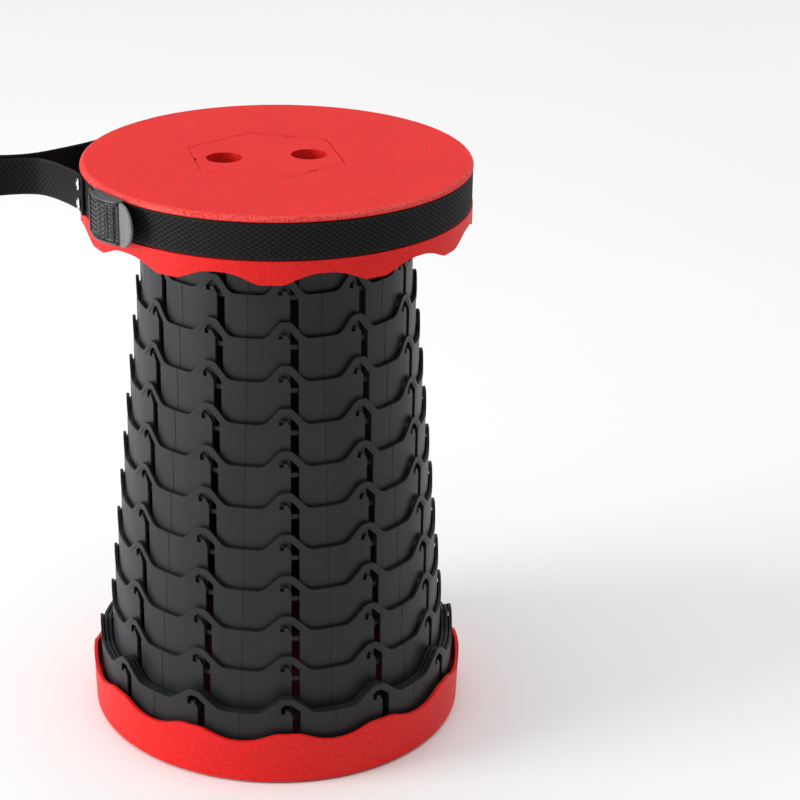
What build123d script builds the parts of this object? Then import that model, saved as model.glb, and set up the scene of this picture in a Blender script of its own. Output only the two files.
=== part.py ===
"""Telescopic camp stool: a red base tray and seat lid joined by fourteen nesting charcoal rings.

Frame: origin on the floor under the stool's axis, +Z up, -Y the front, millimetres.
Angles round the axis are counted from the front (-Y) towards +X, in degrees.
"""

from build123d import *
from math import asin, atan, cos, degrees, radians, sin, tan
import os

os.makedirs("parts", exist_ok=True)

# ---- stool ---------------------------------------------------------------
stool_height = 385.5
wave_count = 12
wave_step = 360 / wave_count
wave_twist = 3.5            # first crest of the base and of every ring
clear = 0.3                 # play between pieces of different bodies

# ---- rings ---------------------------------------------------------------
ring_count = 14
ring_outer = 121.0          # raised rim of ring 1
ring_step = 2.74            # each ring is this much smaller in radius
ring_height = 46.5          # foot to crest
ring_wall = 1.9
rim_proud = 0.3             # the rim stands this much out of the panel
rim_width = 2.6
wave_depth = 11.0           # crest to dip
crest_half = 3.6            # half the crest's flat before rounding
round_reach = 3.5           # length a wave's rounding takes from each straight
dip_start = 10.0            # degrees from a crest to the flat dip
ring1_foot = 14.0
stroke = 27.95              # travel of each ring in the one outside it
seat_extra = 4.0            # the seat ring travels this much further
nest_drop = 0.45            # each nested ring sits this much lower
nested_rings = (2, 3)

slot_left = 2.95            # main slot, from the crest's centre line
slot_right = 8.25
slot_foot = 3.0
slot_roof = 4.4             # rim material left over the slot
hook_left = -4.4            # locking notch at the far end of the hook
hook_right = -1.6
hook_depth = 11.0
hook_neck = 8.4
seam_width = 0.5
seam_depth = 0.25
peg_proud = 0.3
peg_size = (2.2, 3.0)
peg_middle = (-3.0, 9.7)

seat_ring_height = 62.9     # ring 14 reaches up to the seat's underside

# ---- base ----------------------------------------------------------------
base_foot_radius = 125.0
base_top_radius = 126.2
base_wall = 2.4
base_low = 31.0
base_high = 37.0
base_round = 2.5
pad_height = 0.8
deck_foot = 5.0
deck_top = 7.5
ledge_inner = 118.8
rib_thick = 2.0
hub_radii = (60.0, 92.0)
boss_radius = 15.0

# ---- seat ----------------------------------------------------------------
seat_radius = 124.6
seat_round = 3.3
seat_top_thick = 2.8
groove_radius = 122.7
groove_wall = 1.4
groove_top = stool_height - 3.4
groove_foot = stool_height - 27.5
skirt_wall = 2.3
skirt_high = stool_height - 35.3
skirt_tip = stool_height - 42.2
skirt_twist = -1.5
collar_height = 34.0
collar_wall = 2.0
seat_rib_height = 7.0

hex_middle = (-7.0, 1.2)
hex_radius = 53.0
hex_turn = -78.6
hex_thick = 2.0
hex_gap = 0.35
hex_ledge = 5.0
pocket_thick = 2.2
finger_holes = ((-33.0, -4.0), (20.6, 3.4))
finger_radius = 11.5
finger_tube = 7.5           # the tube reaches this far below the plate
snap_length = 6.0
snap_width = 1.2

# ---- strap and buckle ----------------------------------------------------
belt_inner = 122.9
belt_thick = 1.5
belt_width = 23.8
belt_middle = (groove_top + groove_foot) / 2
handle_thick = 1.8
handle_width = 25.0
handle_radius = 125.8
front_rivets = -76.0
rear_rivets = -116.5
rivet_spread = 6.2
rivet_shank = 2.0
rivet_head = 3.6
rivet_hole = 2.1

buckle_start = -62.0
buckle_end = -41.0
buckle_middle = (buckle_start + buckle_end) / 2
buckle_height = 27.6


def rim_point(angle, radius, height=0.0):
    """Point at an angle counted from the front, at a radius and a height."""
    turn = radians(angle)
    return Vector(radius * sin(turn), -radius * cos(turn), height)


def sector_plane(angle, radius):
    """Upright plane facing outwards at an angle: x runs round the stool, y runs up."""
    turn = radians(angle)
    return Plane(rim_point(angle, radius), x_dir=(cos(turn), sin(turn), 0), z_dir=(sin(turn), -cos(turn), 0))


def crest_planes(radius, twist=wave_twist):
    """One outward plane for each wave crest."""
    return [sector_plane(twist + wave_step * count, radius) for count in range(wave_count)]


def dip_planes(radius, twist=wave_twist):
    """One outward plane for each dip, half a wave on from the crests."""
    return crest_planes(radius, twist + wave_step / 2)


def across(offset, radius):
    """Turn an offset from a crest's centre into the offset from the next dip's centre."""
    return radius * sin(radians(wave_step / 2) - asin(offset / radius))


def ring_radius(number):
    return ring_outer - ring_step * (number - 1)


def ring_foot(number):
    """Height of a ring's foot: nested rings sit low, the others are pulled out to their upper stop."""
    pulled = max(0, number - 1 - len(nested_rings))
    extra = seat_extra if number == ring_count else 0
    return ring1_foot - nest_drop * (number - 1) + stroke * pulled + extra


def make_ring(number):
    """One telescopic ring: thin wall, raised waved rim, hooked slots, locking pegs and seams."""
    radius = ring_radius(number)
    inner = radius - ring_wall
    foot = ring_foot(number)
    crest = foot + ring_height
    dip = crest - wave_depth
    wave_foot = radius * sin(radians(dip_start)) - round_reach
    slope = atan(wave_depth / (wave_foot - crest_half))
    rounding = round_reach / tan(slope / 2)
    lean = rim_width * tan(slope / 2)
    rim_base = dip - rim_width
    with BuildPart() as ring:
        # rim layer, opened under each crest so that the band follows the wave
        with BuildSketch(Plane.XY.offset(rim_base)):
            Circle(radius)
            Circle(inner + ring_wall / 2, mode=Mode.SUBTRACT)
        extrude(amount=crest - rim_base)
        with BuildSketch(*crest_planes(inner)):
            with BuildLine():
                under = [
                    (-wave_foot - round_reach - 1.5, rim_base - 0.2),
                    (-wave_foot + lean, rim_base - 0.2),
                    (-crest_half + lean, crest - rim_width),
                    (crest_half - lean, crest - rim_width),
                    (wave_foot - lean, rim_base - 0.2),
                    (wave_foot + round_reach + 1.5, rim_base - 0.2),
                ]
                bends = [rounding + rim_width, rounding - rim_width, rounding - rim_width, rounding + rim_width]
                FilletPolyline(*under, radius=bends)
                Polyline(under[-1], (under[-1][0], rim_base - 2), (under[0][0], rim_base - 2), under[0])
            make_face()
        extrude(amount=ring_wall + 2, mode=Mode.SUBTRACT)
        # wall
        with BuildSketch(Plane.XY.offset(foot)):
            Circle(radius - rim_proud)
            Circle(inner, mode=Mode.SUBTRACT)
        extrude(amount=ring_height)
        # dips between the crests
        with BuildSketch(*dip_planes(inner - 6)):
            with BuildLine():
                rise = [
                    (across(crest_half * 0.3, radius), crest + 0.1),
                    (across(crest_half, radius), crest + 0.1),
                    (across(wave_foot, radius), dip),
                ]
                mirrored = [(-x, y) for x, y in reversed(rise)]
                FilletPolyline(*rise, *mirrored, radius=[rounding * 0.65, rounding, rounding, rounding * 0.65])
                Polyline(mirrored[-1], (mirrored[-1][0], crest + 2), (rise[0][0], crest + 2), rise[0])
            make_face()
        extrude(amount=ring_wall + 10, mode=Mode.SUBTRACT)
        # hooked slots: a tall slot whose top turns over to a notch under the crest
        with BuildSketch(*crest_planes(inner - 2)):
            with BuildLine():
                shoulder = slot_roof * tan(slope / 2)
                fall = crest - (slot_right - crest_half) * tan(slope) - slot_roof / cos(slope)
                drop = crest - slot_roof - (-hook_left - crest_half + shoulder) * tan(slope)
                hook = [
                    (slot_left, foot + slot_foot),
                    (slot_right, foot + slot_foot),
                    (slot_right, fall),
                    (crest_half - shoulder, crest - slot_roof),
                    (shoulder - crest_half, crest - slot_roof),
                    (hook_left, drop),
                    (hook_left, crest - hook_depth),
                    (hook_right, crest - hook_depth),
                    (hook_right, crest - hook_neck),
                    (slot_left - 2.4, crest - hook_neck),
                    (slot_left, crest - hook_neck - 4),
                ]
                Polyline(*hook, close=True)
            make_face()
        extrude(amount=ring_wall + 6, mode=Mode.SUBTRACT)
        # seams down the panel, one in each dip
        with BuildSketch(*dip_planes(radius - rim_proud - seam_depth)):
            with Locations((0, foot + ring_height / 2)):
                Rectangle(seam_width, ring_height + 4)
        extrude(amount=3, mode=Mode.SUBTRACT)
        # locking pegs
        with BuildSketch(*crest_planes(radius - rim_proud - 0.8)):
            with Locations((peg_middle[0], foot + peg_middle[1])):
                Rectangle(*peg_size)
        extrude(amount=0.8 + rim_proud + peg_proud)
    ring.part.label = f"tier_{number:02d}"
    return ring.part


def make_seat_ring():
    """Ring 14 carries the seat: taller, with a plain top that hides in the seat's skirt."""
    radius = ring_radius(ring_count)
    foot = ring_foot(ring_count)
    with BuildPart() as seat_ring:
        with BuildSketch(Plane.XY.offset(foot)):
            Circle(radius - rim_proud)
            Circle(radius - ring_wall, mode=Mode.SUBTRACT)
        extrude(amount=seat_ring_height)
        with BuildSketch(*crest_planes(radius - ring_wall - 2)):
            with Locations(((slot_left + slot_right) / 2, foot + slot_foot + 15)):
                Rectangle(slot_right - slot_left, 30)
        extrude(amount=ring_wall + 6, mode=Mode.SUBTRACT)
        with BuildSketch(*dip_planes(radius - rim_proud - seam_depth)):
            with Locations((0, foot + seat_ring_height / 2)):
                Rectangle(seam_width, seat_ring_height + 4)
        extrude(amount=3, mode=Mode.SUBTRACT)
        with BuildSketch(*crest_planes(radius - rim_proud - 0.8)):
            with Locations((peg_middle[0], foot + peg_middle[1])):
                Rectangle(*peg_size)
        extrude(amount=0.8 + rim_proud + peg_proud)
    seat_ring.part.label = f"tier_{ring_count:02d}"
    return seat_ring.part


# ---- base shell ----------------------------------------------------------
base_inner = base_top_radius - base_wall
with BuildPart() as base_shell:
    with BuildSketch(Plane.XZ):
        with BuildLine():
            foot_corner = (base_foot_radius, pad_height)
            FilletPolyline(
                (base_inner, base_high),
                (base_top_radius, base_high),
                foot_corner,
                (ledge_inner, pad_height),
                (ledge_inner, ring1_foot),
                (base_inner - 0.4, ring1_foot),
                radius=[0.6, base_round, 0.6, 0.6],
            )
            Line((base_inner - 0.4, ring1_foot), (base_inner, base_high))
        make_face()
    revolve(axis=Axis.Z)
    # deck with ribs under it
    with BuildSketch(Plane.XY.offset(deck_foot)):
        Circle(ledge_inner + 1)
    extrude(amount=deck_top - deck_foot)
    with BuildSketch(Plane.XY.offset(pad_height)):
        Circle(boss_radius)
    extrude(amount=deck_foot - pad_height)
    with BuildSketch(Plane.XY.offset(pad_height)):
        for hub in hub_radii:
            Circle(hub)
            Circle(hub - rib_thick, mode=Mode.SUBTRACT)
        with PolarLocations((ledge_inner + hub_radii[0]) / 2, wave_count):
            Rectangle(ledge_inner + 2 - hub_radii[0], rib_thick)
    extrude(amount=deck_foot - pad_height)
    # waved top edge
    with BuildSketch(*dip_planes(base_inner - 6)):
        with BuildLine():
            base_wave = [(-34, base_high + 0.4), (-25, base_high + 0.4), (-8, base_low)]
            base_wave += [(-x, y) for x, y in reversed(base_wave)]
            FilletPolyline(*base_wave, radius=[28, 42, 42, 28])
            Polyline(base_wave[-1], (34, base_high + 3), (-34, base_high + 3), base_wave[0])
        make_face()
    extrude(amount=12, mode=Mode.SUBTRACT)
base_shell.part.label = "base_shell"
export_step(base_shell.part, "parts/base_shell.step")

# ---- foot pads: nine arcs with gaps between, and one at the middle --------
pad_count = 9
with BuildPart() as foot_pads:
    with BuildSketch(Plane.XY):
        Circle(base_foot_radius - 3)
        Circle(ledge_inner + 0.8, mode=Mode.SUBTRACT)
        for count in range(pad_count):
            with Locations(rim_point(17 + count * 360 / pad_count, base_foot_radius - 4)):
                Rectangle(12, 12, rotation=17 + count * 360 / pad_count, mode=Mode.SUBTRACT)
        Circle(boss_radius - 1)
    extrude(amount=pad_height)
foot_pads.part.label = "foot_pads"
export_step(foot_pads.part, "parts/foot_pads.step")

# ---- rings ---------------------------------------------------------------
for number in range(1, ring_count):
    ring_part = make_ring(number)
    export_step(ring_part, f"parts/{ring_part.label}.step")
seat_ring_part = make_seat_ring()
export_step(seat_ring_part, f"parts/{seat_ring_part.label}.step")

# ---- seat lid ------------------------------------------------------------
seat_under = stool_height - seat_top_thick
collar_outer = ring_radius(ring_count) - ring_wall - clear
skirt_inner = seat_radius - skirt_wall
rivet_angles = (front_rivets, rear_rivets)
rivet_heights = (belt_middle - rivet_spread, belt_middle + rivet_spread)
with BuildPart() as seat_lid:
    with BuildSketch(Plane.XZ):
        with BuildLine():
            Polyline(
                (0, stool_height),
                (seat_radius - seat_round, stool_height),
            )
            TangentArc(
                (seat_radius - seat_round, stool_height),
                (seat_radius, stool_height - seat_round),
                tangent=(1, 0),
            )
            Polyline(
                (seat_radius, stool_height - seat_round),
                (seat_radius, groove_top),
                (groove_radius, groove_top),
                (groove_radius, groove_foot),
                (seat_radius + 0.2, groove_foot),
                (seat_radius + 0.2, skirt_tip),
                (skirt_inner, skirt_tip),
                (skirt_inner, groove_foot + 1),
                (groove_radius - groove_wall, groove_foot + 2),
                (groove_radius - groove_wall, seat_under),
                (0, seat_under),
                (0, stool_height),
            )
        make_face()
    revolve(axis=Axis.Z)
    # collar inside ring 14, and stiffening ribs outside it
    with BuildSketch(Plane.XY.offset(seat_under)):
        Circle(collar_outer)
        Circle(collar_outer - collar_wall, mode=Mode.SUBTRACT)
    extrude(amount=-collar_height)
    rib_inner = ring_radius(ring_count) + 2
    rib_outer = groove_radius - groove_wall + 0.5
    with BuildSketch(Plane.XY.offset(seat_under)):
        with PolarLocations((rib_inner + rib_outer) / 2, 2 * wave_count):
            Rectangle(rib_outer - rib_inner, rib_thick)
    extrude(amount=-seat_rib_height)
    # thicker pad round the hexagonal pocket
    with BuildSketch(Plane.XY.offset(seat_under)):
        with Locations(hex_middle):
            RegularPolygon(hex_radius + 4, 6, rotation=hex_turn)
    extrude(amount=-pocket_thick)
    with BuildSketch(Plane.XY.offset(stool_height)):
        with Locations(hex_middle):
            RegularPolygon(hex_radius, 6, rotation=hex_turn)
    extrude(amount=-hex_thick, mode=Mode.SUBTRACT)
    with BuildSketch(Plane.XY.offset(stool_height)):
        with Locations(hex_middle):
            RegularPolygon(hex_radius - hex_ledge, 6, rotation=hex_turn)
    extrude(amount=-(seat_top_thick + pocket_thick), mode=Mode.SUBTRACT)
    # waved skirt: broad highs between narrow tips
    with BuildSketch(*dip_planes(skirt_inner - 6, skirt_twist)):
        with BuildLine():
            skirt_wave = [(-29.5, skirt_tip - 0.4), (-26, skirt_tip - 0.4), (-9, skirt_high)]
            skirt_wave += [(-x, y) for x, y in reversed(skirt_wave)]
            FilletPolyline(*skirt_wave, radius=[16, 34, 34, 16])
            Polyline(skirt_wave[-1], (29.5, skirt_tip - 3), (-29.5, skirt_tip - 3), skirt_wave[0])
        make_face()
    extrude(amount=14, mode=Mode.SUBTRACT)
    # rivet holes
    for angle in rivet_angles:
        with BuildSketch(sector_plane(angle, groove_radius - groove_wall - 1)):
            for height in rivet_heights:
                with Locations((0, height)):
                    Circle(rivet_hole)
        extrude(amount=6, mode=Mode.SUBTRACT)
seat_lid.part.label = "seat_lid"
export_step(seat_lid.part, "parts/seat_lid.step")

# ---- hexagonal insert plate ---------------------------------------------
with BuildPart() as hex_plate:
    with BuildSketch(Plane.XY.offset(stool_height - hex_thick)):
        with Locations(hex_middle):
            RegularPolygon(hex_radius - hex_gap, 6, rotation=hex_turn)
    extrude(amount=hex_thick)
    hex_rim = hex_plate.faces().sort_by(Axis.Z)[-1].outer_wire().edges()
    chamfer(hex_rim, length=0.4)
    # skirt that drops into the pocket
    with BuildSketch(Plane.XY.offset(stool_height - hex_thick)):
        with Locations(hex_middle):
            RegularPolygon(hex_radius - hex_ledge - hex_gap, 6, rotation=hex_turn)
            RegularPolygon(hex_radius - hex_ledge - 2, 6, rotation=hex_turn, mode=Mode.SUBTRACT)
    extrude(amount=-(seat_top_thick + pocket_thick - hex_thick))
    # finger holes with a short tube under each
    with BuildSketch(Plane.XY.offset(stool_height - hex_thick)):
        with Locations(*finger_holes):
            Circle(finger_radius + 1.6)
    extrude(amount=-finger_tube)
    with BuildSketch(Plane.XY.offset(stool_height)):
        with Locations(*finger_holes):
            Circle(finger_radius)
    extrude(amount=-(hex_thick + finger_tube), mode=Mode.SUBTRACT)
    # snap notches at the middle of every second side
    notch_place = hex_radius * cos(radians(30)) - hex_gap - snap_width / 2
    for side in range(3):
        bearing = radians(hex_turn + 30 + 120 * side)
        notch = (hex_middle[0] + notch_place * cos(bearing), hex_middle[1] + notch_place * sin(bearing))
        with BuildSketch(Plane.XY.offset(stool_height)):
            with Locations(notch):
                Rectangle(snap_width, snap_length, rotation=degrees(bearing))
        extrude(amount=-hex_thick, mode=Mode.SUBTRACT)
hex_plate.part.label = "hex_plate"
export_step(hex_plate.part, "parts/hex_plate.step")

# ---- belt ----------------------------------------------------------------
with BuildPart() as belt:
    with BuildSketch(Plane.XY.offset(belt_middle - belt_width / 2)):
        Circle(belt_inner + belt_thick)
        Circle(belt_inner, mode=Mode.SUBTRACT)
    extrude(amount=belt_width)
    for angle in rivet_angles:
        with BuildSketch(sector_plane(angle, belt_inner - 1)):
            for height in rivet_heights:
                with Locations((0, height)):
                    Circle(rivet_hole)
        extrude(amount=belt_thick + 2, mode=Mode.SUBTRACT)
belt.part.label = "belt"
export_step(belt.part, "parts/belt.step")

# ---- handle strap: a loop of webbing standing out to the left ------------
handle_front = [rim_point(front_rivets + 3.4, handle_radius), rim_point(front_rivets - 3.4, handle_radius)]
handle_rear = [rim_point(rear_rivets + 4.5, handle_radius), rim_point(rear_rivets - 4.5, handle_radius)]
handle_loop = [(-146, 5), (-160, 8), (-178, 4), (-194, -2), (-205, 7), (-194, 16), (-178, 12), (-160, 15), (-146, 23)]
handle_route = handle_front + [Vector(*spot) for spot in handle_loop] + handle_rear
handle_bends = [9, 14, 16, 20, 7, 8, 7, 20, 16, 14, 9]


def strap_side(route, bends, shift):
    """One long edge of a strap: its middle line moved sideways, with each bend's radius to match."""
    ways = [(after - before).normalized() for before, after in zip(route, route[1:])]
    sides = [Vector(-way.Y, way.X) for way in ways]
    corners = [route[0] + sides[0] * shift]
    radii = []
    for count, bend in enumerate(bends):
        middle = (sides[count] + sides[count + 1]).normalized()
        corners.append(route[count + 1] + middle * (shift / middle.dot(sides[count])))
        turns_left = ways[count].cross(ways[count + 1]).Z > 0
        radii.append(bend - shift if turns_left else bend + shift)
    corners.append(route[-1] + sides[-1] * shift)
    return FilletPolyline(*corners, radius=radii)


with BuildPart() as handle_strap:
    with BuildSketch(Plane.XY.offset(belt_middle - handle_width / 2)):
        with BuildLine():
            outer_side = strap_side(handle_route, handle_bends, handle_thick / 2)
            inner_side = strap_side(handle_route, handle_bends, -handle_thick / 2)
            Line(outer_side @ 0, inner_side @ 0)
            Line(outer_side @ 1, inner_side @ 1)
        make_face()
    extrude(amount=handle_width)
    for angle in rivet_angles:
        with BuildSketch(sector_plane(angle, handle_radius - 3)):
            for height in rivet_heights:
                with Locations((0, height)):
                    Circle(rivet_hole)
        extrude(amount=6, mode=Mode.SUBTRACT)
handle_strap.part.label = "handle_strap"
export_step(handle_strap.part, "parts/handle_strap.step")

# ---- rivets --------------------------------------------------------------
shank_start = groove_radius - groove_wall
head_start = handle_radius + handle_thick / 2 + 0.05
for name, angle in (("rivets_front", front_rivets), ("rivets_rear", rear_rivets)):
    with BuildPart() as rivets:
        with BuildSketch(sector_plane(angle, shank_start)):
            for height in rivet_heights:
                with Locations((0, height)):
                    Circle(rivet_shank)
        extrude(amount=head_start - shank_start)
        with BuildSketch(sector_plane(angle, head_start)):
            for height in rivet_heights:
                with Locations((0, height)):
                    Circle(rivet_head)
        extrude(amount=1.3)
        chamfer(rivets.faces().filter_by(sector_plane(angle, 0)).group_by(Axis(
            (0, 0, 0), tuple(rim_point(angle, 1))))[-1].edges(), length=0.6)
    rivets.part.label = name
    export_step(rivets.part, f"parts/{name}.step")

# ---- cam buckle ----------------------------------------------------------
buckle_foot = belt_middle - buckle_height / 2
buckle_roof = belt_middle + buckle_height / 2
buckle_back = 125.3         # the frame's back stays clear of belt and seat
arch_middle = (-1.3, 101.5)
arch_radius = 33.1
plate_thick = 1.6
plate_ends = (-24.2, 12.0)
lever_radius = arch_radius - 0.3
lever_thick = 2.6
lever_end = 13.6
lever_height = buckle_height - 2 * plate_thick - 2 * clear
pin_spot = (-17.5, 128.5)
pin_radius = 1.2
hub_radius = 2.5
pin_play = 0.1
tab_fall = -5.0             # degrees the thumb tab slopes back towards the belt
tab_thick = 1.8
back_bars = ((-23.0, 126.4, 2.4, 2.2), (5.0, 126.1, 5.0, 1.6))


def buckle_plane(height):
    """Level plane, facing down: x runs along the belt at the buckle, y points away from the axis."""
    turn = radians(buckle_middle)
    return Plane((0, 0, height), x_dir=(cos(turn), sin(turn), 0), z_dir=(0, 0, -1))


with BuildPart() as buckle_frame:
    # upper and lower side plates, arched on the outside
    with BuildSketch(buckle_plane(buckle_roof), buckle_plane(buckle_foot + plate_thick)):
        with Locations(arch_middle):
            Circle(arch_radius)
        with Locations(((plate_ends[0] + plate_ends[1]) / 2, buckle_back + 10)):
            Rectangle(plate_ends[1] - plate_ends[0], 20, mode=Mode.INTERSECT)
        with Locations(pin_spot):
            Circle(pin_radius, mode=Mode.SUBTRACT)
    extrude(amount=plate_thick)
    # bars across the back
    with BuildSketch(buckle_plane(buckle_roof)):
        for along, out, wide, deep in back_bars:
            with Locations((along, out)):
                Rectangle(wide, deep)
    extrude(amount=buckle_height)
buckle_frame.part.label = "buckle_frame"
export_step(buckle_frame.part, "parts/buckle_frame.step")

with BuildPart() as buckle_pin:
    with BuildSketch(buckle_plane(buckle_roof)):
        with Locations(pin_spot):
            Circle(pin_radius)
    extrude(amount=buckle_height)
buckle_pin.part.label = "buckle_pin"
export_step(buckle_pin.part, "parts/buckle_pin.step")

# lever: arched grip plate with a hub on the pin and a half-round thumb tab
with BuildPart() as buckle_lever:
    with BuildSketch(buckle_plane(belt_middle + lever_height / 2)):
        with Locations(arch_middle):
            Circle(lever_radius)
            Circle(lever_radius - lever_thick, mode=Mode.SUBTRACT)
        with Locations(((pin_spot[0] + lever_end) / 2, buckle_back + 12)):
            Rectangle(lever_end - pin_spot[0], 20, mode=Mode.INTERSECT)
        with Locations(pin_spot):
            Circle(hub_radius)
            Circle(pin_radius + pin_play, mode=Mode.SUBTRACT)
    extrude(amount=lever_height)
    lever_rise = (lever_radius**2 - (lever_end - arch_middle[0]) ** 2) ** 0.5 + arch_middle[1]
    level = buckle_plane(belt_middle)
    tab_origin = level.from_local_coords(Vector(lever_end, lever_rise, 0))
    tab_way = level.x_dir * cos(radians(tab_fall)) - level.y_dir * sin(radians(tab_fall))
    tab_out = level.x_dir * sin(radians(tab_fall)) + level.y_dir * cos(radians(tab_fall))
    with BuildSketch(Plane(tab_origin, x_dir=tab_way, z_dir=tab_out)):
        Circle(buckle_height / 2)
        with Locations((buckle_height / 2, 0)):
            Rectangle(buckle_height, buckle_height, mode=Mode.INTERSECT)
        with Locations((-0.6, 0)):
            Rectangle(1.4, lever_height)
    extrude(amount=-tab_thick)
buckle_lever.part.label = "buckle_lever"
export_step(buckle_lever.part, "parts/buckle_lever.step")
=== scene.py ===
"""Looks of a telescopic camp stool: grained red mouldings, satin charcoal rings, black webbing, cam buckle.

Everything is in metres in the stool's own frame: origin on the floor under the axis, +Z up, -Y the front.
Angles round the axis are counted from the front towards +X, in degrees.
"""

import math

import bpy
import numpy as np
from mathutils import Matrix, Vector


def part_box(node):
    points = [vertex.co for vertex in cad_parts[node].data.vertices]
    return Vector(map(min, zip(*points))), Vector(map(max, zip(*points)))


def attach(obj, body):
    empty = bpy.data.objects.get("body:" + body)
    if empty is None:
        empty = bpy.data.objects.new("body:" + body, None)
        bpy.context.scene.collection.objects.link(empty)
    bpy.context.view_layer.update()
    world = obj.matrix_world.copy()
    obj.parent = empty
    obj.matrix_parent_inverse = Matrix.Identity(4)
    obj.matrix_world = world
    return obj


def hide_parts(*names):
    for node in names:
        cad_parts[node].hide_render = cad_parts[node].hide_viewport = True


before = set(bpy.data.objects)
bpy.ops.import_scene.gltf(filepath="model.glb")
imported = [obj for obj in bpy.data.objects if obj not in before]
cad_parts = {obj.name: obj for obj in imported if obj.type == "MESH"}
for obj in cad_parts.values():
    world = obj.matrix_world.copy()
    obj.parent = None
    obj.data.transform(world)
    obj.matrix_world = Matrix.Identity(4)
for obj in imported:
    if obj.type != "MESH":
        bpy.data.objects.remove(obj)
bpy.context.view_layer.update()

MM = 0.001
RINGS = 14

# places taken from the frame
belt_low, belt_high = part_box("belt")
handle_low, handle_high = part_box("handle_strap")
SEAT_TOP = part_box("seat_lid")[1][2]
BELT_MIDDLE = (belt_low[2] + belt_high[2]) / 2
BELT_OUTER = belt_high[0]
WEB_CLEARANCE = 0.6 * MM     # the webbing is this much narrower than its CAD solid
BELT_WIDTH = belt_high[2] - belt_low[2] - WEB_CLEARANCE
HANDLE_WIDTH = handle_high[2] - handle_low[2] - WEB_CLEARANCE


# where painted light goes on the red mouldings: a painted highlight on the seat's rounding and painted shade
# on the base's deck
ROUNDING_RADII = (121.0 * MM, 123.8 * MM)    # the painted highlight on the seat's rounding, from its face outwards
ROUNDING_DEPTHS = (3.8 * MM, 2.2 * MM)       # the same, down from the seat's face
DECK_RADII = (117.5 * MM, 118.5 * MM)        # where the base's deck meets its wall; the painted shade on the deck fades out across these radii
DECK_HEIGHTS = (9 * MM, 12 * MM)             # heights where the painted shade on the deck ends


# ---------------------------------------------------------------- materials
def start_material(name, colour, roughness, specular=0.5):
    """A new node material; returns it with its node tree and its shader node."""
    material = bpy.data.materials.new(name)
    material.use_nodes = True
    tree = material.node_tree
    shader = tree.nodes["Principled BSDF"]
    shader.inputs["Base Color"].default_value = (*colour, 1)
    shader.inputs["Roughness"].default_value = roughness
    shader.inputs["Specular IOR Level"].default_value = specular
    return material, tree, shader


def object_noise(tree, scale, detail=2.0, roughness=0.5, stretch=(1, 1, 1)):
    """Noise on object coordinates; a scale of 1000 makes spots about a millimetre across."""
    place = tree.nodes.new("ShaderNodeTexCoord")
    turn = tree.nodes.new("ShaderNodeMapping")
    turn.inputs["Scale"].default_value = stretch
    noise = tree.nodes.new("ShaderNodeTexNoise")
    noise.inputs["Scale"].default_value = scale
    noise.inputs["Detail"].default_value = detail
    noise.inputs["Roughness"].default_value = roughness
    tree.links.new(place.outputs["Object"], turn.inputs["Vector"])
    tree.links.new(turn.outputs["Vector"], noise.inputs["Vector"])
    return noise.outputs["Fac"]


def ramp(tree, value, stops):
    """Colour ramp through stops of (position, colour)."""
    node = tree.nodes.new("ShaderNodeValToRGB")
    first, last = node.color_ramp.elements
    first.position, last.position = stops[0][0], stops[-1][0]
    first.color, last.color = (*stops[0][1], 1), (*stops[-1][1], 1)
    for position, colour in stops[1:-1]:
        node.color_ramp.elements.new(position).color = (*colour, 1)
    tree.links.new(value, node.inputs["Fac"])
    return node.outputs["Color"]


def spread(tree, value, low, high, start=0.0, end=1.0):
    """Maps a value from start..end to low..high."""
    node = tree.nodes.new("ShaderNodeMapRange")
    node.inputs["From Min"].default_value = start
    node.inputs["From Max"].default_value = end
    node.inputs["To Min"].default_value = low
    node.inputs["To Max"].default_value = high
    tree.links.new(value, node.inputs["Value"])
    return node.outputs["Result"]


def axis_distance(tree):
    """Distance from the stool's axis and height over the floor, as two value sockets."""
    place = tree.nodes.new("ShaderNodeTexCoord")
    parts = tree.nodes.new("ShaderNodeSeparateXYZ")
    level = tree.nodes.new("ShaderNodeCombineXYZ")
    length = tree.nodes.new("ShaderNodeVectorMath")
    length.operation = "LENGTH"
    tree.links.new(place.outputs["Object"], parts.inputs["Vector"])
    tree.links.new(parts.outputs["X"], level.inputs["X"])
    tree.links.new(parts.outputs["Y"], level.inputs["Y"])
    tree.links.new(level.outputs["Vector"], length.inputs[0])
    return length.outputs["Value"], parts.outputs["Z"]


def product(tree, one, two):
    """Product of two value sockets."""
    node = tree.nodes.new("ShaderNodeMath")
    node.operation = "MULTIPLY"
    tree.links.new(one, node.inputs[0])
    tree.links.new(two, node.inputs[1])
    return node.outputs["Value"]


def blend_colours(tree, factor, one, two, mode="MIX"):
    """Mixes two colours or colour sockets by a factor socket or number."""
    node = tree.nodes.new("ShaderNodeMix")
    node.data_type = "RGBA"
    node.blend_type = mode
    sockets = [s for s in node.inputs if s.enabled]
    for socket, value in zip(sockets, (factor, one, two)):
        if hasattr(value, "is_output"):
            tree.links.new(value, socket)
        elif isinstance(value, tuple):
            socket.default_value = (*value, 1)
        else:
            socket.default_value = value
    return [s for s in node.outputs if s.enabled][0]


def relief(tree, shader, heights):
    """Chains bump nodes, each (height socket, distance in metres, strength), into the shader's normal."""
    normal = None
    for height, distance, strength in heights:
        bump = tree.nodes.new("ShaderNodeBump")
        bump.inputs["Distance"].default_value = distance
        bump.inputs["Strength"].default_value = strength
        tree.links.new(height, bump.inputs["Height"])
        if normal is not None:
            tree.links.new(normal, bump.inputs["Normal"])
        normal = bump.outputs["Normal"]
    tree.links.new(normal, shader.inputs["Normal"])


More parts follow.
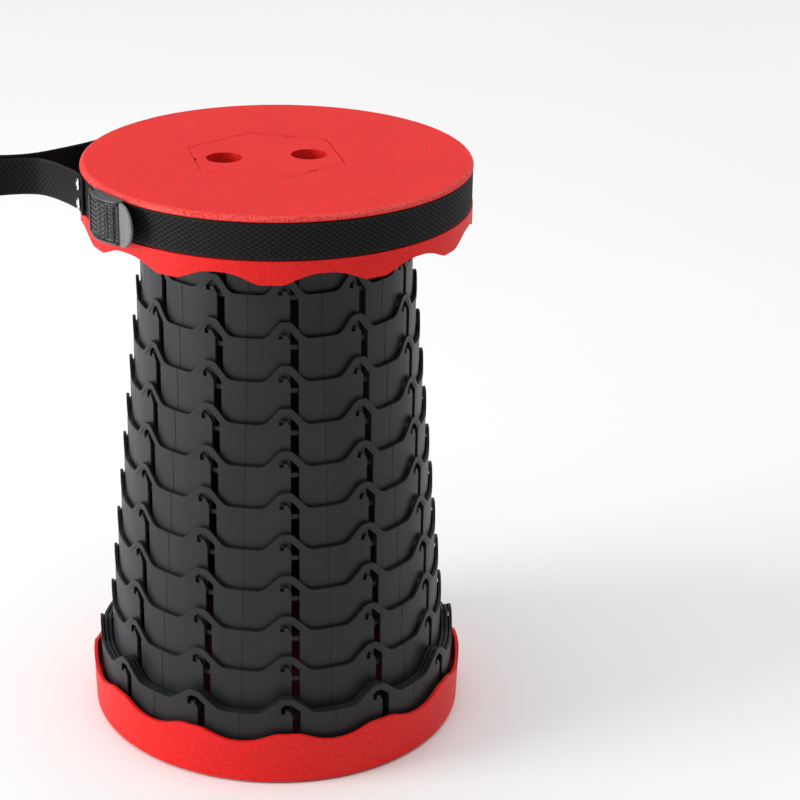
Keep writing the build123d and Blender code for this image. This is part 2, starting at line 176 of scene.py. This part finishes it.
def grained_red():
    """Spark-eroded red polypropylene: grain, faint mottling, a painted highlight on the seat's rounding,
    painted shade on the deck.
    """
    material, tree, shader = start_material("grained_red_plastic", (0.78, 0.018, 0.016), 0.5, 0.24)
    grain = object_noise(tree, 800, 3, 0.65)
    cloud = object_noise(tree, 22, 2, 0.5)
    base = ramp(tree, cloud, [(0.3, (0.82, 0.010, 0.008)), (0.7, (0.87, 0.014, 0.011))])
    speck_stops = [(0.36, (0.74, 0.70, 0.70)), (0.5, (0.98, 0.98, 0.98)), (0.64, (1.0, 1.0, 1.0))]
    speck = ramp(tree, grain, speck_stops)
    blotch_stops = [(0.38, (0.89, 0.86, 0.86)), (0.62, (1.0, 1.0, 1.0))]
    blotch = ramp(tree, object_noise(tree, 430, 2, 0.6), blotch_stops)
    fine = blend_colours(tree, 1.0, base, speck, "MULTIPLY")
    skin = blend_colours(tree, 1.0, fine, blotch, "MULTIPLY")
    radius, height = axis_distance(tree)
    # painted highlight: a pale pink speckle painted on the seat's rounding, where light glances off it
    outer = spread(tree, radius, 0, 1, *ROUNDING_RADII)
    crown = spread(tree, height, 0, 1, *(SEAT_TOP - depth for depth in ROUNDING_DEPTHS))
    high_grain = spread(tree, grain, 0, 1, 0.38, 0.6)
    painted_highlight = spread(tree, product(tree, product(tree, outer, crown), high_grain), 0, 0.6)
    with_painted_highlight = blend_colours(tree, painted_highlight, skin, (0.86, 0.17, 0.15))
    # painted shade: the base's deck, inside its wall and low down, darkened almost to black red
    within = spread(tree, radius, 1, 0, *DECK_RADII)
    shade = product(tree, within, spread(tree, height, 1, 0, *DECK_HEIGHTS))
    inside = blend_colours(tree, spread(tree, shade, 0, 0.93), with_painted_highlight, (0.08, 0.004, 0.004))
    tree.links.new(inside, shader.inputs["Base Color"])
    tree.links.new(spread(tree, grain, 0.42, 0.6), shader.inputs["Roughness"])
    relief(tree, shader, [(grain, 0.00022, 0.75), (object_noise(tree, 2600, 2), 0.00008, 0.4)])
    return material


def satin_charcoal():
    """Satin charcoal moulding: fine etched skin, faint flow marks down the panels."""
    material, tree, shader = start_material("satin_charcoal_plastic", (0.017, 0.018, 0.020), 0.45, 0.26)
    flow = object_noise(tree, 60, 3, 0.5, (1, 1, 0.15))
    skin = object_noise(tree, 1700, 2, 0.6)
    colour = ramp(tree, flow, [(0.3, (0.014, 0.0155, 0.0175)), (0.7, (0.020, 0.0215, 0.024))])
    tree.links.new(colour, shader.inputs["Base Color"])
    tree.links.new(spread(tree, flow, 0.38, 0.5), shader.inputs["Roughness"])
    relief(tree, shader, [(skin, 0.00006, 0.35)])
    return material


def woven_nylon():
    """Black nylon webbing: the mesh carries each float's crown, which is glossier; its colour is paler on
    the crowns as a painted highlight and near black between floats as painted shade.
    """
    material, tree, shader = start_material("woven_black_nylon", (0.006, 0.006, 0.007), 0.6, 0.22)
    crown = tree.nodes.new("ShaderNodeAttribute")
    crown.attribute_name = "crown"
    uv = tree.nodes.new("ShaderNodeUVMap")
    uv.uv_map = "strap"
    stretch = tree.nodes.new("ShaderNodeMapping")
    stretch.inputs["Scale"].default_value = (900, 5200, 1)
    fibres = tree.nodes.new("ShaderNodeTexNoise")
    fibres.inputs["Scale"].default_value = 1.0
    fibres.inputs["Detail"].default_value = 2.0
    tree.links.new(uv.outputs["UV"], stretch.inputs["Vector"])
    tree.links.new(stretch.outputs["Vector"], fibres.inputs["Vector"])
    # painted highlight and shade: the colour pales towards each float's crown and falls to near black
    # between floats
    crown_light_and_shade_stops = [(0.2, (0.0008, 0.0008, 0.0009)), (0.95, (0.013, 0.013, 0.014))]
    colour = ramp(tree, crown.outputs["Fac"], crown_light_and_shade_stops)
    tree.links.new(colour, shader.inputs["Base Color"])
    tree.links.new(spread(tree, crown.outputs["Fac"], 0.75, 0.48), shader.inputs["Roughness"])
    relief(tree, shader, [(fibres.outputs["Fac"], 0.00012, 0.6)])
    return material


def glossy_acetal():
    """Buckle plastic: near-black, glossy, with faint ripple and rubbing marks."""
    material, tree, shader = start_material("glossy_black_acetal", (0.010, 0.011, 0.012), 0.2, 0.3)
    ripple = object_noise(tree, 220, 2)
    rub = object_noise(tree, 900, 3, 0.6, (1, 1, 0.2))
    tree.links.new(spread(tree, rub, 0.12, 0.30), shader.inputs["Roughness"])
    colour = ramp(tree, ripple, [(0.3, (0.007, 0.008, 0.009)), (0.7, (0.013, 0.014, 0.015))])
    tree.links.new(colour, shader.inputs["Base Color"])
    relief(tree, shader, [(ripple, 0.00006, 0.3)])
    return material


def grey_acetal():
    """Side faces and thumb tab of the buckle: the same black plastic, painted mid grey as a painted sheen of
    its satin polish.
    """
    material, tree, shader = start_material("acetal_painted_grey_sheen", (0.12, 0.125, 0.13), 0.28, 0.6)
    brush = object_noise(tree, 500, 3, 0.6, (1, 1, 0.12))
    # painted sheen: the black plastic coloured mid grey to stand for its polish's reflection
    colour = ramp(tree, brush, [(0.3, (0.10, 0.105, 0.11)), (0.7, (0.17, 0.175, 0.18))])
    tree.links.new(colour, shader.inputs["Base Color"])
    tree.links.new(spread(tree, brush, 0.22, 0.40), shader.inputs["Roughness"])
    relief(tree, shader, [(brush, 0.00004, 0.3)])
    return material


def dark_acetal():
    """Buckle side plates: the same black plastic, painted dark grey as a painted sheen of its dull polish.
    """
    material, tree, shader = start_material("acetal_painted_dark_sheen", (0.04, 0.042, 0.045), 0.32, 0.5)
    brush = object_noise(tree, 450, 3, 0.6, (1, 1, 0.2))
    # painted sheen: the black plastic coloured dark grey to stand for the light on its polished faces
    colour = ramp(tree, brush, [(0.3, (0.030, 0.032, 0.035)), (0.7, (0.055, 0.058, 0.062))])
    tree.links.new(colour, shader.inputs["Base Color"])
    tree.links.new(spread(tree, brush, 0.24, 0.42), shader.inputs["Roughness"])
    relief(tree, shader, [(brush, 0.00004, 0.3)])
    return material


def nickel():
    """Nickel-plated rivet steel: bright, with fine turning marks and small dull spots."""
    material, tree, shader = start_material("nickel_plate", (0.78, 0.78, 0.80), 0.2, 0.5)
    shader.inputs["Metallic"].default_value = 1.0
    dull = object_noise(tree, 1500, 3)
    tree.links.new(spread(tree, dull, 0.12, 0.38), shader.inputs["Roughness"])
    colour = ramp(tree, dull, [(0.3, (0.70, 0.70, 0.72)), (0.7, (0.86, 0.86, 0.87))])
    tree.links.new(colour, shader.inputs["Base Color"])
    relief(tree, shader, [(dull, 0.00003, 0.25)])
    return material


def foot_rubber():
    """Soft black rubber, matt and slightly dusty."""
    material, tree, shader = start_material("soft_black_rubber", (0.02, 0.02, 0.02), 0.8, 0.3)
    dust = object_noise(tree, 350, 4, 0.6)
    colour = ramp(tree, dust, [(0.35, (0.016, 0.016, 0.016)), (0.75, (0.045, 0.043, 0.04))])
    tree.links.new(colour, shader.inputs["Base Color"])
    tree.links.new(spread(tree, dust, 0.7, 0.9), shader.inputs["Roughness"])
    relief(tree, shader, [(dust, 0.0001, 0.4)])
    return material


RED = grained_red()
CHARCOAL = satin_charcoal()
NYLON = woven_nylon()
BLACK_ACETAL = glossy_acetal()
SHEEN_PAINTED_GREY = grey_acetal()
SHEEN_PAINTED_DARK = dark_acetal()
NICKEL = nickel()
RUBBER = foot_rubber()


# ---------------------------------------------------------------- mesh tools
def add_piece(name, points, faces, materials, body, replaces=(), smooth=True):
    """Makes a mesh object with its finish, body and slot, and hides the CAD nodes it replaces."""
    mesh = bpy.data.meshes.new(name)
    mesh.from_pydata(points.tolist(), [], faces)
    mesh.validate()
    for material in materials:
        mesh.materials.append(material)
    mesh.polygons.foreach_set("use_smooth", np.full(len(mesh.polygons), smooth))
    mesh.update()
    piece = bpy.data.objects.new(name, mesh)
    bpy.context.scene.collection.objects.link(piece)
    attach(piece, body)
    if replaces:
        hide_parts(*replaces)
    return piece


def grid_faces(rows, columns, wrap_rows=False, wrap_columns=False):
    """Quads of a grid of points stored row by row, optionally closed round its rows or its columns."""
    last_row = rows if wrap_rows else rows - 1
    last_column = columns if wrap_columns else columns - 1
    row, column = np.meshgrid(np.arange(last_row), np.arange(last_column), indexing="ij")
    next_row, next_column = (row + 1) % rows, (column + 1) % columns
    corners = (row * columns + column, next_row * columns + column,
               next_row * columns + next_column, row * columns + next_column)
    return np.stack([corner.ravel() for corner in corners], axis=1)


def round_axis(angle, radius, height):
    """Points at angles from the front (radians), radii and heights, as an array of x, y, z."""
    angle, radius, height = np.broadcast_arrays(angle, radius, height)
    return np.stack([radius * np.sin(angle), -radius * np.cos(angle), height], axis=-1)


# ---------------------------------------------------------------- webbing
WEB_COLUMNS_ACROSS = 46      # grid lines across one face of the webbing
SELVEDGE = 1.3 * MM          # plain woven edge
WEAVE_HEIGHT = 0.24 * MM     # how far a float's crown stands over the strap's body
BACK_SHIFT = 1.3 * MM        # the inner face's pattern runs this much ahead of the outer one's


def weave(along, across, width, float_length, pick, shift):
    """Height of the woven face, 0 to 1: rows of domed floats, each row moved on by a share of a float.

    along and across are arrays in metres; a float is float_length long and pick wide, and the row below is
    shifted by shift floats, so 0.5 gives staggered dashes and a third gives a twill line.
    """
    row = np.floor(across / pick)
    dome = np.sin(np.pi * (across / pick - row)) ** 1.2
    phase = along / float_length + row * shift
    crest = np.clip(0.30 + 0.95 * np.cos(2 * np.pi * phase), 0, 1)
    edge = np.minimum(across, width - across)
    inside = np.clip((edge - SELVEDGE) / (0.5 * MM), 0, 1)
    rib = 0.5 + 0.5 * np.cos(2 * np.pi * along / (1.1 * MM))
    return inside * dome * crest + (1 - inside) * (0.35 + 0.4 * rib)


def strap_piece(name, path, sides, pattern, width, thickness, body, replaces, closed):
    """Webbing along a level path: a flat loop section, woven on both faces, carried along the path.

    path holds the middle line's points, sides the level unit vectors across the strap's thickness. Each
    section runs up the outer face and down the inner one; its corners are rounded by half the thickness.
    """
    across = np.linspace(0, width, WEB_COLUMNS_ACROSS)
    steps = np.linalg.norm(np.diff(path, axis=0, append=path[:1]), axis=1)
    along = np.concatenate([[0], np.cumsum(steps)[:-1]])
    grid_along, grid_across = np.meshgrid(along, across, indexing="ij")
    edge = np.minimum(grid_across, width - grid_across)
    rounded = np.sqrt(np.clip(1 - (1 - np.clip(edge / (thickness / 2), 0, 1)) ** 2, 0, 1))
    half = thickness / 2 - WEAVE_HEIGHT
    outer_weave = pattern(grid_along, grid_across, width)
    inner_weave = pattern(grid_along + BACK_SHIFT, grid_across, width)
    outward = half * rounded + WEAVE_HEIGHT * outer_weave * rounded
    inward = half * rounded + WEAVE_HEIGHT * inner_weave * rounded
    height = BELT_MIDDLE - width / 2 + grid_across
    sheets = []
    for offset in (outward, -inward[:, ::-1]):
        level = height if offset is outward else height[:, ::-1]
        sheet = np.empty((*offset.shape, 3))
        sheet[..., :2] = path[:, None, :2] + sides[:, None, :2] * offset[..., None]
        sheet[..., 2] = level
        sheets.append(sheet)
    points = np.concatenate(sheets, axis=1)
    columns = points.shape[1]
    face_list = grid_faces(len(path), columns, wrap_rows=closed, wrap_columns=True).tolist()
    if not closed:
        face_list.append(list(range(columns)))
        face_list.append([(len(path) - 1) * columns + index for index in range(columns)][::-1])
    piece = add_piece(name, points.reshape(-1, 3), face_list, [NYLON], body, replaces)
    mesh = piece.data
    crown = np.concatenate([outer_weave, inner_weave[:, ::-1]], axis=1).ravel()
    mesh.attributes.new("crown", "FLOAT", "POINT").data.foreach_set("value", crown.astype(np.float32))
    uv = mesh.uv_layers.new(name="strap")
    corner_point = np.empty(len(mesh.loops), dtype=np.int32)
    mesh.loops.foreach_get("vertex_index", corner_point)
    flat_across = np.concatenate([grid_across, 2 * width - grid_across[:, ::-1]], axis=1)
    flat = np.stack([np.repeat(along, columns), flat_across.ravel()], axis=1)
    uv.data.foreach_set("uv", flat[corner_point].ravel().astype(np.float32))
    return piece


def dash_weave(along, across, width):
    """Belt face: long staggered floats."""
    return weave(along, across, width, 4.8 * MM, 1.55 * MM, 0.5)


def twill_weave(along, across, width):
    """Handle face: short floats whose twill line turns back at the middle of the strap."""
    folded = np.where(across > width / 2, width - across, across)
    return weave(along, folded, width, 3.6 * MM, 1.45 * MM, 1 / 3)


BELT_THICK = 1.5 * MM
BELT_STEPS = 1500            # sections round the belt
belt_turns = np.linspace(0, 2 * math.pi, BELT_STEPS, endpoint=False)
belt_ring = round_axis(belt_turns, BELT_OUTER - BELT_THICK / 2, BELT_MIDDLE)
belt_sides = round_axis(belt_turns, 1.0, 0.0)
strap_piece(
    "belt_webbing", belt_ring, belt_sides, dash_weave, BELT_WIDTH, BELT_THICK, "seat", ["belt"], closed=True,
)

# the handle's middle line: patch on the belt, loop to the left, patch on the belt
HANDLE_RADIUS = 125.8                        # of its patches, in millimetres
HANDLE_THICK = 1.7 * MM
HANDLE_STEPS = 520                           # sections along the handle
FRONT_RIVETS, REAR_RIVETS = -76.0, -116.5    # degrees from the front
FRONT_PATCH, REAR_PATCH = 3.4, 4.5           # degrees a patch reaches either side of its rivets
HANDLE_LOOP = [
    (-146, 5), (-160, 8), (-178, 4), (-194, -2), (-205, 7),
    (-194, 16), (-178, 12), (-160, 15), (-146, 23),
]


def rim_spot(angle, radius):
    """Level point at an angle in degrees from the front, in millimetres."""
    return radius * math.sin(math.radians(angle)), -radius * math.cos(math.radians(angle))


def smooth_line(corners, count):
    """Quadratic B-spline through the middles of the corners' legs, as evenly spaced points."""
    corners = np.array([corners[0], *corners, corners[-1]], dtype=float)
    share = np.linspace(0, 1, 40, endpoint=False)[:, None]
    before, at, after = corners[:-2, None], corners[1:-1, None], corners[2:, None]
    leg = 0.5 * (before + at) * (1 - share) ** 2 + at * 2 * share * (1 - share)
    leg = leg + 0.5 * (at + after) * share**2
    dense = np.concatenate([leg.reshape(-1, 2), corners[-1:]])
    run = np.concatenate([[0], np.cumsum(np.linalg.norm(np.diff(dense, axis=0), axis=1))])
    even = np.linspace(0, run[-1], count)
    return np.stack([np.interp(even, run, dense[:, axis]) for axis in (0, 1)], axis=1)


handle_corners = [rim_spot(FRONT_RIVETS + turn, HANDLE_RADIUS) for turn in (FRONT_PATCH, -FRONT_PATCH)]
handle_corners += HANDLE_LOOP
handle_corners += [rim_spot(REAR_RIVETS + turn, HANDLE_RADIUS) for turn in (REAR_PATCH, -REAR_PATCH)]
handle_line = smooth_line(handle_corners, HANDLE_STEPS) * MM
handle_way = np.gradient(handle_line, axis=0)
handle_way /= np.linalg.norm(handle_way, axis=1, keepdims=True)
handle_sides = np.stack([-handle_way[:, 1], handle_way[:, 0]], axis=1)
strap_piece(
    "handle_webbing", handle_line, handle_sides, twill_weave, HANDLE_WIDTH, HANDLE_THICK, "seat",
    ["handle_strap"], closed=False,
)


# ---------------------------------------------------------------- rivets
def turned_piece(name, profile, centres, ways, sides, ups, material, body, replaces, steps=40):
    """Turns a profile of (radius, distance along the way) about each centre's way and joins the copies."""
    profile = np.array(profile, dtype=float)
    turn = np.linspace(0, 2 * math.pi, steps, endpoint=False)
    all_points, all_faces = [], []
    for centre, way, side, up in zip(centres, ways, sides, ups):
        ring = np.cos(turn)[:, None] * side + np.sin(turn)[:, None] * up
        points = centre + profile[:, 1][:, None, None] * way + profile[:, 0][:, None, None] * ring[None]
        start = sum(len(block) for block in all_points)
        all_points.append(points.reshape(-1, 3))
        faces = grid_faces(len(profile), steps, wrap_columns=True)[:, ::-1] + start
        all_faces += faces.tolist()
        all_faces.append([start + index for index in range(steps)])
        all_faces.append([start + (len(profile) - 1) * steps + index for index in range(steps)][::-1])
    return add_piece(name, np.concatenate(all_points), all_faces, [material], body, replaces)


RIVET_PROFILE = [(0.4, -5.0), (2.0, -4.9), (2.0, 0.05), (3.3, 0.05), (3.75, 0.25), (3.85, 0.6), (3.6, 1.05),
                 (3.1, 1.3), (2.5, 1.34), (1.9, 1.2), (1.5, 0.85), (1.25, 0.6), (0.8, 0.55), (0.05, 0.55)]
RIVET_SPREAD = 6.2 * MM      # a rivet's distance above or below the belt's middle
RIVET_SEAT = 0.95 * MM       # the rivets' foot stands this far out of the handle's middle line
for rivet_name, rivet_angle in (("front", FRONT_RIVETS), ("rear", REAR_RIVETS)):
    swing = math.radians(rivet_angle)
    out = np.array([math.sin(swing), -math.cos(swing), 0])
    side = np.array([math.cos(swing), math.sin(swing), 0])
    up = np.array([0, 0, 1.0])
    seat_on = HANDLE_RADIUS * MM + RIVET_SEAT
    middles = [out * seat_on + up * (BELT_MIDDLE + offset) for offset in (-RIVET_SPREAD, RIVET_SPREAD)]
    turned_piece(
        f"{rivet_name}_rivets", np.array(RIVET_PROFILE) * MM, middles, [out] * 2, [side] * 2, [up] * 2,
        NICKEL, "seat", [f"rivets_{rivet_name}"],
    )


# ---------------------------------------------------------------- buckle
BUCKLE_ANGLE = math.radians(-51.5)
ALONG = np.array([math.cos(BUCKLE_ANGLE), math.sin(BUCKLE_ANGLE), 0])
OUTWARD = np.array([math.sin(BUCKLE_ANGLE), -math.cos(BUCKLE_ANGLE), 0])
UP = np.array([0, 0, 1.0])
ARCH_MIDDLE = np.array([-1.3, 101.5]) * MM
ARCH_RADIUS = 33.1 * MM
LEVER_RADIUS = 32.8 * MM
LEVER_THICK = 2.6 * MM
LEVER_END = 13.6 * MM
PIN_SPOT = np.array([-17.5, 128.5]) * MM
HUB_RADIUS = 2.5 * MM
BUCKLE_HEIGHT = 27.6 * MM
PLATE_THICK = 1.6 * MM
PLATE_ENDS = (-24.2 * MM, 12.0 * MM)
BUCKLE_BACK = 125.3 * MM
TAB_FALL = math.radians(-5)
TAB_THICK = 1.8 * MM
TAB_ROOT = 0.9 * MM          # how far the tab's square end runs into the grip


def outline_normals(outline):
    """Level unit normals of a closed outline that runs anticlockwise, pointing out of it."""
    way = np.roll(outline, -1, axis=0) - np.roll(outline, 1, axis=0)
    way /= np.maximum(np.linalg.norm(way, axis=1, keepdims=True), 1e-12)
    return np.stack([way[:, 1], -way[:, 0]], axis=1)


def plate_points(outline, thickness, rounding, frame_axes, origin):
    """A plate with rounded edges: the outline, drawn in by a quarter round at both faces.

    frame_axes are the three unit vectors of the outline's x, its y and the thickness.
    """
    arcs = np.linspace(0, math.pi / 2, 5)
    inset = np.concatenate([rounding * (1 - np.sin(arcs)), rounding * (1 - np.sin(arcs[::-1]))])
    level = np.concatenate([-thickness / 2 + rounding * (1 - np.cos(arcs)),
                            thickness / 2 - rounding * (1 - np.cos(arcs[::-1]))])
    normals = outline_normals(outline)
    rings = outline[None] - normals[None] * inset[:, None, None]
    x, y, z = frame_axes
    return origin + rings[..., :1] * x + rings[..., 1:] * y + level[:, None, None] * z


def plate_piece(name, outlines, thickness, rounding, frame_axes, origins, material, body, replaces=()):
    """One or more rounded plates from outlines of the same kind, as one piece."""
    points, faces, start = [], [], 0
    flip = np.dot(np.cross(frame_axes[0], frame_axes[1]), frame_axes[2]) < 0
    for outline, origin in zip(outlines, origins):
        block = plate_points(outline, thickness, rounding, frame_axes, origin)
        rows, columns = block.shape[:2]
        quads = grid_faces(rows, columns, wrap_columns=True)
        quads = (quads if flip else quads[:, ::-1]) + start
        faces += quads.tolist()
        foot = [start + index for index in range(columns)]
        head = [start + (rows - 1) * columns + index for index in range(columns)]
        faces += [foot, head[::-1]] if flip else [foot[::-1], head]
        points.append(block.reshape(-1, 3))
        start += rows * columns
    return add_piece(name, np.concatenate(points), faces, [material], body, replaces)


def arch_line(radius, start_x, end_x, count):
    """Points on the buckle's arch between two places along the belt, from right to left."""
    x = np.linspace(start_x, end_x, count)
    return np.stack([x, ARCH_MIDDLE[1] + np.sqrt(radius**2 - (x - ARCH_MIDDLE[0]) ** 2)], axis=1)


plate_outline = np.concatenate([
    np.array([[PLATE_ENDS[0], BUCKLE_BACK], [0, BUCKLE_BACK], [PLATE_ENDS[1], BUCKLE_BACK]]),
    arch_line(ARCH_RADIUS, PLATE_ENDS[1], PLATE_ENDS[0], 40),
])
plate_piece(
    "buckle_side_plates", [plate_outline] * 2, PLATE_THICK, 0.5 * MM, (ALONG, OUTWARD, UP),
    [UP * (BELT_MIDDLE + sign * (BUCKLE_HEIGHT - PLATE_THICK) / 2) for sign in (-1, 1)],
    SHEEN_PAINTED_DARK, "buckle", ["buckle_frame"],
)


def bar_outline(along, out, wide, deep, rounding):
    """Rounded rectangle round a bar's middle, anticlockwise."""
    turn = np.linspace(0, 2 * math.pi, 24, endpoint=False)
    corner = np.stack([np.sign(np.cos(turn)) * (wide / 2 - rounding) + rounding * np.cos(turn),
                       np.sign(np.sin(turn)) * (deep / 2 - rounding) + rounding * np.sin(turn)], axis=1)
    return np.array([along, out]) + corner


plate_piece(
    "buckle_back_bars",
    [bar_outline(-23.0 * MM, 126.4 * MM, 2.4 * MM, 2.2 * MM, 0.7 * MM),
     bar_outline(5.0 * MM, 126.1 * MM, 5.0 * MM, 1.6 * MM, 0.6 * MM)],
    BUCKLE_HEIGHT - PLATE_THICK, 0.2 * MM, (ALONG, OUTWARD, UP), [UP * BELT_MIDDLE] * 2,
    BLACK_ACETAL, "buckle",
)

# lever: arched grip with moulded knurl, closed by a hub round the pin
KNURL_ALONG = 5.0 * MM
KNURL_UP = 2.9 * MM
KNURL_HEIGHT = 0.75 * MM
lever_half = BUCKLE_HEIGHT / 2 - PLATE_THICK - 0.3 * MM


def lever_points():
    """The arched grip: rows up the buckle, each a closed outline of outer arch, end, inner arch and hub.

    The outer arch stands out by a knurl of crossed waves: the product of two slanting cosines.
    """
    outer = arch_line(LEVER_RADIUS, LEVER_END, PIN_SPOT[0] + 0.4 * MM, 130)
    hub_turn = np.linspace(math.radians(80), math.radians(290), 18)
    hub = PIN_SPOT + HUB_RADIUS * np.stack([np.cos(hub_turn), np.sin(hub_turn)], axis=1)
    inner = arch_line(LEVER_RADIUS - LEVER_THICK, PIN_SPOT[0] + 2.6 * MM, LEVER_END, 40)
    outline = np.concatenate([outer, hub, inner])
    normals = outline_normals(outline)
    heights = np.linspace(-lever_half, lever_half, 90)
    inset = 0.35 * MM * np.clip(1 - (lever_half - np.abs(heights)) / (0.5 * MM), 0, 1) ** 2
    run = np.concatenate([[0], np.cumsum(np.linalg.norm(np.diff(outline, axis=0), axis=1))])
    place = np.arange(len(outline))
    on_arch = np.clip(np.minimum(place - 5, len(outer) - 6 - place) / 4, 0, 1)
    on_face = np.clip((lever_half - 0.9 * MM - np.abs(heights)) / (0.4 * MM), 0, 1)
    slant = 2 * math.pi * run[None] / (2 * KNURL_ALONG)
    climb = 2 * math.pi * heights[:, None] / (2 * KNURL_UP)
    knurl = np.clip(0.5 + 0.8 * np.cos(slant + climb) * np.cos(slant - climb), 0, 1) ** 1.5
    knurl = knurl * on_arch[None] * on_face[:, None]
    shift = (knurl - 0.6 * on_arch[None] * on_face[:, None]) * KNURL_HEIGHT - inset[:, None]
    rows = outline[None] + normals[None] * shift[..., None]
    height = np.broadcast_to(BELT_MIDDLE + heights[:, None], rows.shape[:2])
    return rows[..., :1] * ALONG + rows[..., 1:] * OUTWARD + height[..., None] * UP


lever_grid = lever_points()
lever_rows, lever_columns = lever_grid.shape[:2]
lever_faces = grid_faces(lever_rows, lever_columns, wrap_columns=True).tolist()
lever_faces.append(list(range(lever_columns)))
lever_faces.append([(lever_rows - 1) * lever_columns + index for index in range(lever_columns)][::-1])
add_piece("buckle_grip", lever_grid.reshape(-1, 3), lever_faces, [BLACK_ACETAL], "lever",
          ["buckle_lever"])

# thumb tab: a half disc that carries on from the grip's end
tab_rise = ARCH_MIDDLE[1] + math.sqrt(LEVER_RADIUS**2 - (LEVER_END - ARCH_MIDDLE[0]) ** 2)
TAB_WAY = ALONG * math.cos(TAB_FALL) - OUTWARD * math.sin(TAB_FALL)
TAB_OUT = ALONG * math.sin(TAB_FALL) + OUTWARD * math.cos(TAB_FALL)
tab_turn = np.linspace(-math.pi / 2, math.pi / 2, 48)
tab_outline = np.stack([np.cos(tab_turn), np.sin(tab_turn)], axis=1) * BUCKLE_HEIGHT / 2
tab_square = [[-TAB_ROOT, BUCKLE_HEIGHT * 0.43], [-TAB_ROOT, -BUCKLE_HEIGHT * 0.43]]
tab_outline = np.concatenate([tab_outline, tab_square])
plate_piece(
    "buckle_thumb_tab", [tab_outline], TAB_THICK, 0.55 * MM, (TAB_WAY, UP, TAB_OUT),
    [ALONG * LEVER_END + OUTWARD * tab_rise + UP * BELT_MIDDLE - TAB_OUT * TAB_THICK / 2],
    SHEEN_PAINTED_GREY, "lever",
)


# ---------------------------------------------------------------- CAD nodes
def refinish(node, material):
    """Gives a CAD node its detailed finish."""
    for mesh_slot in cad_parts[node].material_slots:
        mesh_slot.material = material


for red_node in ("base_shell", "seat_lid", "hex_plate"):
    refinish(red_node, RED)
for ring in range(1, RINGS + 1):
    refinish(f"tier_{ring:02d}", CHARCOAL)
refinish("foot_pads", RUBBER)
refinish("buckle_pin", NICKEL)


# ---------------------------------------------------------------- studio
def studio_floor():
    """Pale, matt floor with a very faint cloudiness."""
    material, tree, shader = start_material("pale_studio_floor", (0.92, 0.92, 0.92), 0.8, 0.1)
    cloud = object_noise(tree, 1.4, 2)
    colour = ramp(tree, cloud, [(0.3, (0.91, 0.91, 0.91)), (0.7, (0.94, 0.94, 0.94))])
    tree.links.new(colour, shader.inputs["Base Color"])
    return material


FLOOR_REACH = 9.0
floor_mesh = bpy.data.meshes.new("floor")
floor_corners = [(-FLOOR_REACH, -FLOOR_REACH, 0), (FLOOR_REACH, -FLOOR_REACH, 0),
                 (FLOOR_REACH, FLOOR_REACH, 0), (-FLOOR_REACH, FLOOR_REACH, 0)]
floor_mesh.from_pydata(floor_corners, [], [(0, 1, 2, 3)])
floor_mesh.materials.append(studio_floor())
floor = bpy.data.objects.new("floor", floor_mesh)
bpy.context.scene.collection.objects.link(floor)


def soft_light(name, place, target, size, power):
    """A square softbox aimed at a point."""
    lamp = bpy.data.lights.new(name, "AREA")
    lamp.shape = "RECTANGLE"
    lamp.size, lamp.size_y = size
    lamp.energy = power
    holder = bpy.data.objects.new(name, lamp)
    bpy.context.scene.collection.objects.link(holder)
    aim = np.array(target) - np.array(place)
    holder.location = place
    level = math.hypot(aim[0], aim[1])
    holder.rotation_euler = (math.atan2(level, -aim[2]), 0, math.atan2(aim[1], aim[0]) - math.pi / 2)
    return holder


STOOL_MIDDLE = (0, 0, SEAT_TOP / 2)
soft_light("key", (-2.0, -0.55, 0.75), STOOL_MIDDLE, (1.0, 1.4), 38)
soft_light("overhead", (0, 1.2, 3.6), (0, 1.2, 0), (8.0, 8.0), 212)

world = bpy.data.worlds.new("studio_air")
world.use_nodes = True
world.node_tree.nodes["Background"].inputs["Color"].default_value = (1, 1, 1, 1)
world.node_tree.nodes["Background"].inputs["Strength"].default_value = 0.3
bpy.context.scene.world = world
bpy.context.scene.view_settings.view_transform = "Standard"

# ---------------------------------------------------------------- camera
CAMERA_DISTANCE = 1.350
CAMERA_HEIGHT = 0.7871
CAMERA_PITCH = math.radians(22.866)
camera_data = bpy.data.cameras.new("camera")
camera_data.lens = 99.57
camera_data.sensor_width = 36.0
camera_data.shift_x = 0.1544
camera = bpy.data.objects.new("camera", camera_data)
camera.location = (0, -CAMERA_DISTANCE, CAMERA_HEIGHT)
camera.rotation_euler = (math.pi / 2 - CAMERA_PITCH, 0, 0)
bpy.context.scene.collection.objects.link(camera)
bpy.context.scene.camera = camera
